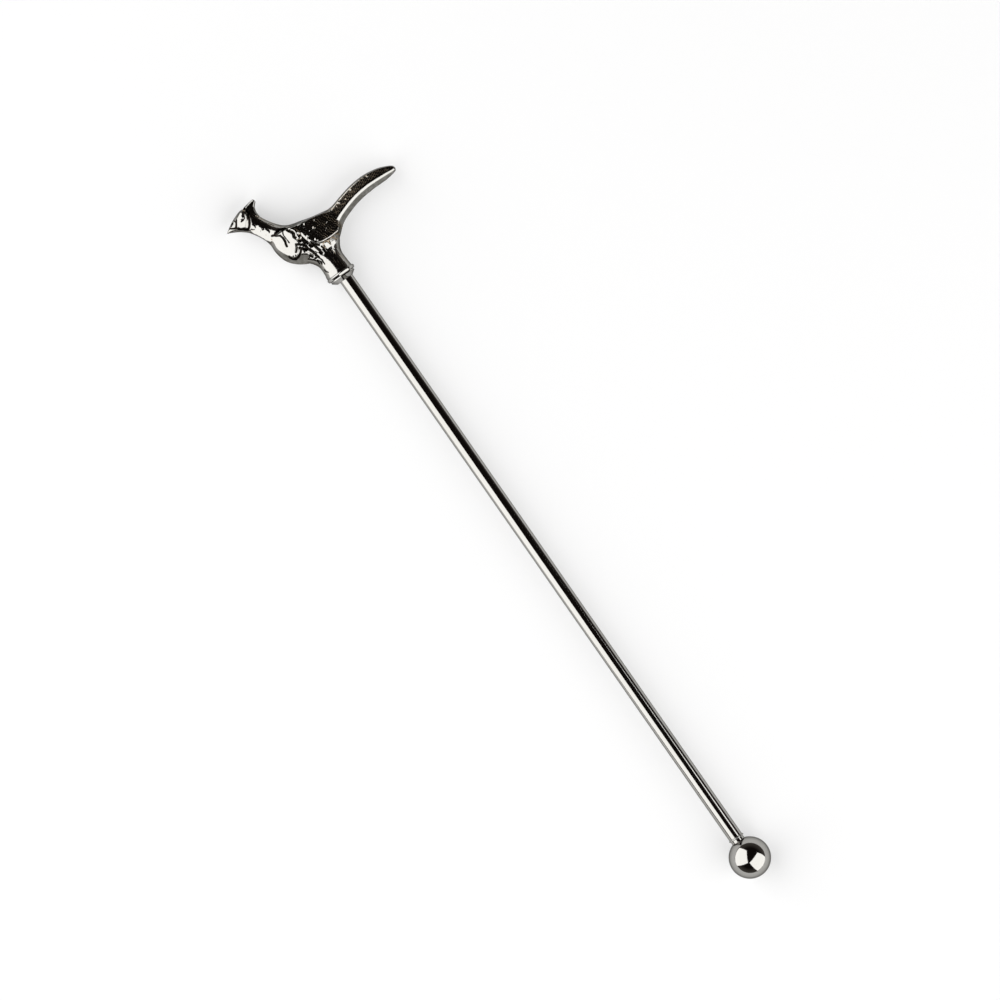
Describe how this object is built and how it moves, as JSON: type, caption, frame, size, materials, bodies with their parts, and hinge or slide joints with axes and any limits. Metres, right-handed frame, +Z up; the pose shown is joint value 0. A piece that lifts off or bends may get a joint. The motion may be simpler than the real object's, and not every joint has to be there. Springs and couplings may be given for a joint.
{
  "type": "drink stirrer",
  "caption": "Drink stirrer: a round rod with a ball at one end and a cast pheasant on a small collar at the other, in one bright plated piece, lying on its flank.",
  "frame": {"origin": "centre of the bounding box in plan, on the table that the stirrer lies on", "axes": "+X along the rod from the ball to the bird, +Y to the side that the bird's head is on, +Z up from the table"},
  "size_m": [0.1986, 0.0414, 0.01],
  "materials": {
    "plated_metal": "bright mirror plating, a little warm, with darker hollows between the feathers"
  },
  "bodies": {
    "root": {"pheasant_stirrer": "plated_metal"}
  },
  "joints": []
}
